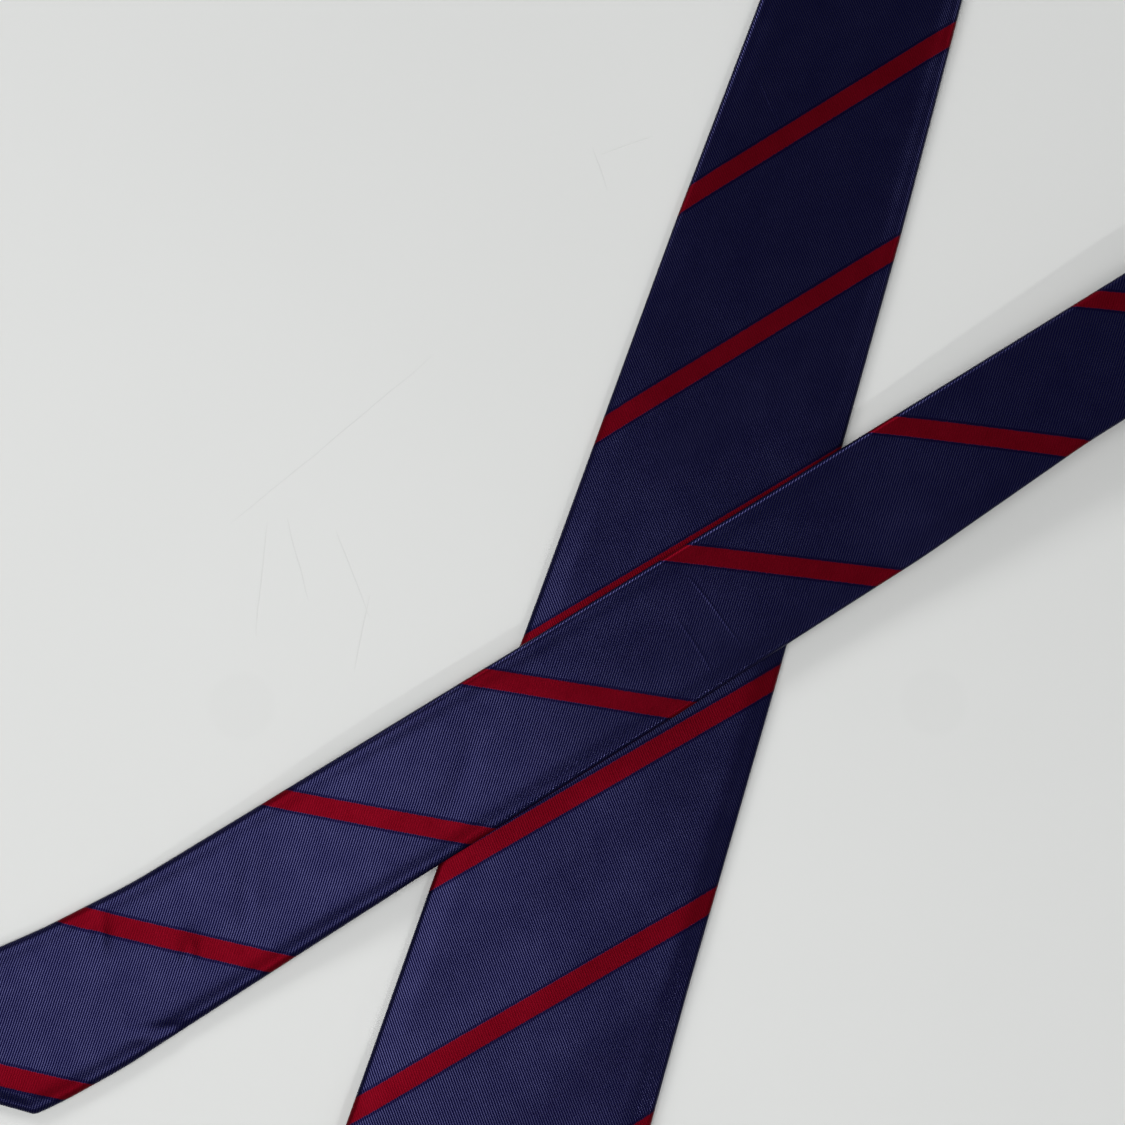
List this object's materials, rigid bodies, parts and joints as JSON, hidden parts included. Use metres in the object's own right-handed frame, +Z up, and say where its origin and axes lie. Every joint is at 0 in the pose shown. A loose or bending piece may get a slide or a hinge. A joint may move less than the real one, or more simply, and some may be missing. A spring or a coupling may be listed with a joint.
{
  "type": "necktie",
  "caption": "Striped necktie laid out flat, with its blades crossed face up, back seams, tipping, keeper loop and two soft shoulder folds.",
  "frame": {"origin": "on the underside of the wide blade, on its centre line where the two blades cross, level with the table", "axes": "+Z up from the table, +X to the right and +Y away along the table, with the wide blade running 72 degrees and the narrow blade 32 degrees from +X"},
  "size_m": [0.4847, 0.6428, 0.0146],
  "materials": {
    "stripe_silk": "navy silk twill with red bias stripes",
    "interlining": "off-white brushed wool and cotton",
    "tipping_cloth": "plain navy lining satin",
    "navy_thread": "navy sewing thread",
    "label_cloth": "blank woven label satin",
    "label_thread": "pale sewing thread"
  },
  "bodies": {
    "wide_blade": {"wide_blade_shell": "stripe_silk", "wide_blade_interlining": "interlining", "wide_blade_slip_stitch": "navy_thread", "keeper_loop": "stripe_silk", "keeper_tack_left": "navy_thread", "keeper_tack_right": "navy_thread", "care_label": "label_cloth"},
    "wide_tip": {"wide_tip_shell": "stripe_silk", "wide_tip_interlining": "interlining", "wide_tipping": "tipping_cloth", "wide_bar_tack": "navy_thread", "wide_tip_slip_stitch": "navy_thread", "maker_label": "label_cloth", "maker_label_tack_left": "label_thread", "maker_label_tack_right": "label_thread"},
    "neck": {"neck_shell": "stripe_silk", "neck_interlining": "interlining", "neck_slip_stitch": "navy_thread", "wide_neck_seam": "stripe_silk", "wide_shoulder_fold": "stripe_silk"},
    "narrow_blade": {"narrow_blade_shell": "stripe_silk", "narrow_blade_interlining": "interlining", "narrow_blade_slip_stitch": "navy_thread", "narrow_neck_seam": "stripe_silk", "narrow_shoulder_fold": "stripe_silk"},
    "narrow_tip": {"narrow_tip_shell": "stripe_silk", "narrow_tip_interlining": "interlining", "narrow_tipping": "tipping_cloth", "narrow_bar_tack": "navy_thread", "narrow_tip_slip_stitch": "navy_thread"}
  },
  "joints": [
    {"name": "wide_tip_lift", "type": "hinge", "parent": "wide_blade", "child": "wide_tip", "pos_m": [-0.05253, -0.16168, 0.0048], "axis": [-0.9511, 0.309, 0], "range_deg": [0, 135]},
    {"name": "wide_shoulder_unfold", "type": "hinge", "parent": "wide_blade", "child": "neck", "pos_m": [0.10507, 0.32336, 0.0073], "axis": [-0.9563, -0.2924, 0], "range_deg": [0, 175], "deforming": ["wide_shoulder_fold"]},
    {"name": "narrow_shoulder_unfold", "type": "hinge", "parent": "neck", "child": "narrow_blade", "pos_m": [0.28834, 0.18017, 0.0073], "axis": [0.0523, 0.9986, 0], "range_deg": [0, 175], "deforming": ["narrow_shoulder_fold"]},
    {"name": "narrow_tip_lift", "type": "hinge", "parent": "narrow_blade", "child": "narrow_tip", "pos_m": [-0.07124, -0.04451, 0.0086], "axis": [-0.5299, 0.848, 0], "range_deg": [0, 135]}
  ]
}
